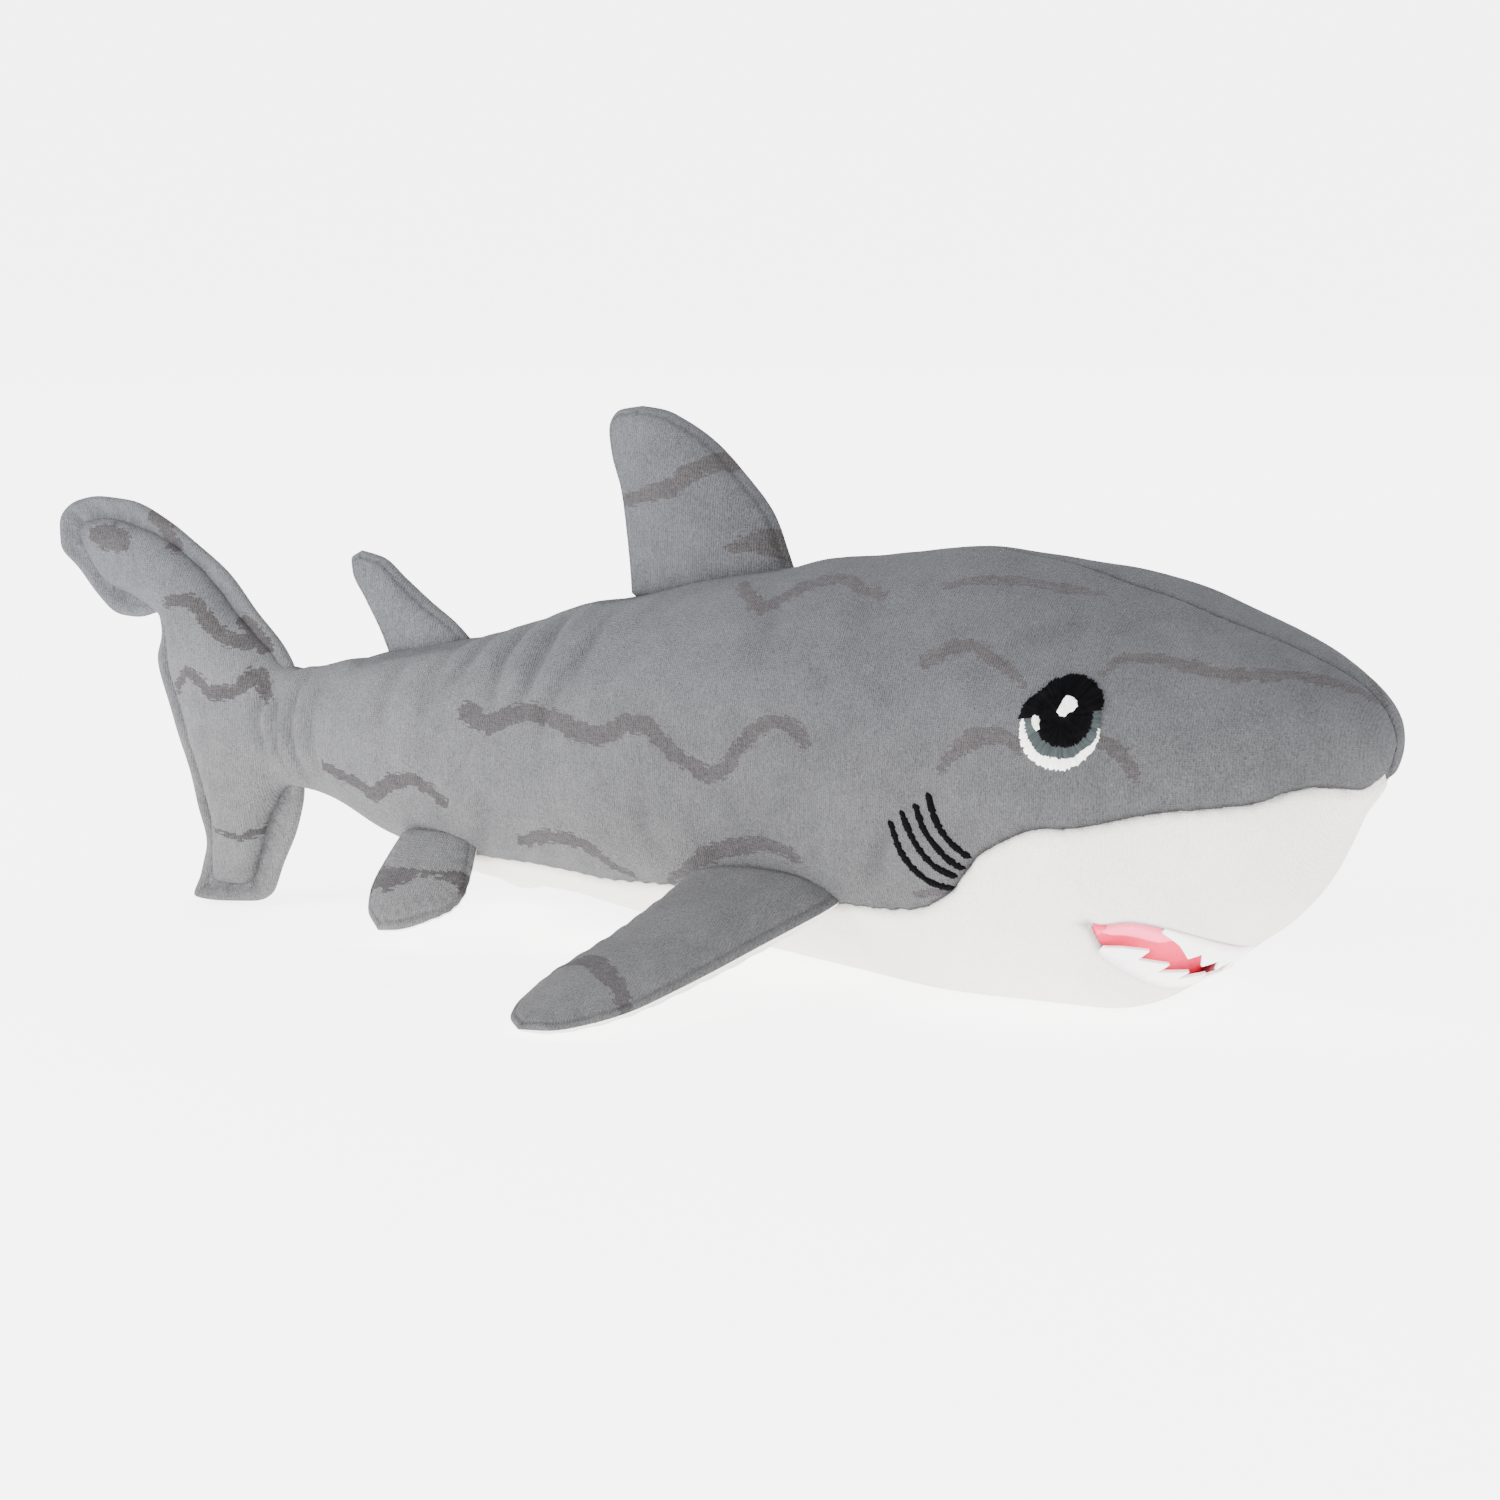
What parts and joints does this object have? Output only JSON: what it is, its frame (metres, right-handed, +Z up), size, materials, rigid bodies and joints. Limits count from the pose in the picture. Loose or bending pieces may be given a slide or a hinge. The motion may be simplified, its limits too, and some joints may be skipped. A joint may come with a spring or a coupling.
{
  "type": "plush shark",
  "caption": "Stuffed plush shark with grey back, white belly, felt-toothed open mouth and embroidered eyes; soft fins and tail flex about their sewn roots.",
  "frame": {"origin": "on the ground under the middle of the length, on the shark's middle plane", "axes": "+X towards the nose, +Y towards the shark's left, +Z up"},
  "size_m": [0.4, 0.213, 0.1445],
  "materials": {
    "grey_plush": "short pile plush knit with fine ribs and darker wavy stripes",
    "white_plush": "short pile plush knit, off-white",
    "pink_lining": "short pile knit, rose pink",
    "white_felt": "thin pressed felt",
    "black_thread": "satin stitch, soft gloss",
    "slate_thread": "satin stitch, soft gloss",
    "white_thread": "satin stitch, soft gloss",
    "fibre_filling": "loose polyester fibre, hidden"
  },
  "bodies": {
    "body": {"body_side_right": "grey_plush", "body_side_left": "grey_plush", "belly_panel": "white_plush", "body_stuffing": "fibre_filling", "mouth_lining_upper": "pink_lining", "mouth_lining_lower": "pink_lining", "teeth_upper": "white_felt", "teeth_lower": "white_felt", "eye_black_right": "black_thread", "eye_iris_right": "slate_thread", "eye_white_right": "white_thread", "eye_glint_right": "white_thread", "gill_right_1": "black_thread", "gill_right_2": "black_thread", "gill_right_3": "black_thread", "gill_right_4": "black_thread", "eye_black_left": "black_thread", "eye_iris_left": "slate_thread", "eye_white_left": "white_thread", "eye_glint_left": "white_thread", "gill_left_1": "black_thread", "gill_left_2": "black_thread", "gill_left_3": "black_thread", "gill_left_4": "black_thread"},
    "dorsal_fin": {"dorsal_fin_right": "grey_plush", "dorsal_fin_left": "grey_plush", "dorsal_fin_stuffing": "fibre_filling"},
    "rear_dorsal_fin": {"rear_dorsal_fin_right": "grey_plush", "rear_dorsal_fin_left": "grey_plush", "rear_dorsal_fin_stuffing": "fibre_filling"},
    "pectoral_right": {"pectoral_right_upper": "grey_plush", "pectoral_right_lower": "white_plush", "pectoral_right_stuffing": "fibre_filling"},
    "pelvic_right": {"pelvic_right_upper": "grey_plush", "pelvic_right_lower": "white_plush", "pelvic_right_stuffing": "fibre_filling"},
    "pectoral_left": {"pectoral_left_upper": "grey_plush", "pectoral_left_lower": "white_plush", "pectoral_left_stuffing": "fibre_filling"},
    "pelvic_left": {"pelvic_left_upper": "grey_plush", "pelvic_left_lower": "white_plush", "pelvic_left_stuffing": "fibre_filling"},
    "tail": {"tail_side_right": "grey_plush", "tail_side_left": "grey_plush", "tail_stuffing": "fibre_filling"}
  },
  "joints": [
    {"name": "tail_bend", "type": "hinge", "parent": "body", "child": "tail", "pos_m": [-0.11853, 0, 0.0515], "axis": [0, 0, 1], "range_deg": [-30, 30], "stiffness_Nm_per_rad": 0.25},
    {"name": "dorsal_lean", "type": "hinge", "parent": "body", "child": "dorsal_fin", "pos_m": [0.00647, 0, 0.10951], "axis": [0.9757, 0, 0.2193], "range_deg": [-30, 30], "stiffness_Nm_per_rad": 0.08},
    {"name": "rear_dorsal_lean", "type": "hinge", "parent": "body", "child": "rear_dorsal_fin", "pos_m": [-0.08353, 0, 0.0836], "axis": [0.9867, 0, 0.1624], "range_deg": [-30, 30], "stiffness_Nm_per_rad": 0.03},
    {"name": "pectoral_flap_right", "type": "hinge", "parent": "body", "child": "pectoral_right", "pos_m": [0.04297, -0.04631, 0.02223], "axis": [-0.9878, 0.1553, -0.0103], "range_deg": [-20, 35], "stiffness_Nm_per_rad": 0.15},
    {"name": "pelvic_flap_right", "type": "hinge", "parent": "body", "child": "pelvic_right", "pos_m": [-0.06703, -0.0216, 0.02118], "axis": [-0.9812, 0.1582, 0.1107], "range_deg": [-20, 25], "stiffness_Nm_per_rad": 0.04},
    {"name": "pectoral_flap_left", "type": "hinge", "parent": "body", "child": "pectoral_left", "pos_m": [0.04297, 0.04631, 0.02223], "axis": [0.9878, 0.1553, 0.0103], "range_deg": [-20, 35], "stiffness_Nm_per_rad": 0.15},
    {"name": "pelvic_flap_left", "type": "hinge", "parent": "body", "child": "pelvic_left", "pos_m": [-0.06703, 0.0216, 0.02118], "axis": [0.9812, 0.1582, -0.1107], "range_deg": [-20, 25], "stiffness_Nm_per_rad": 0.04}
  ]
}
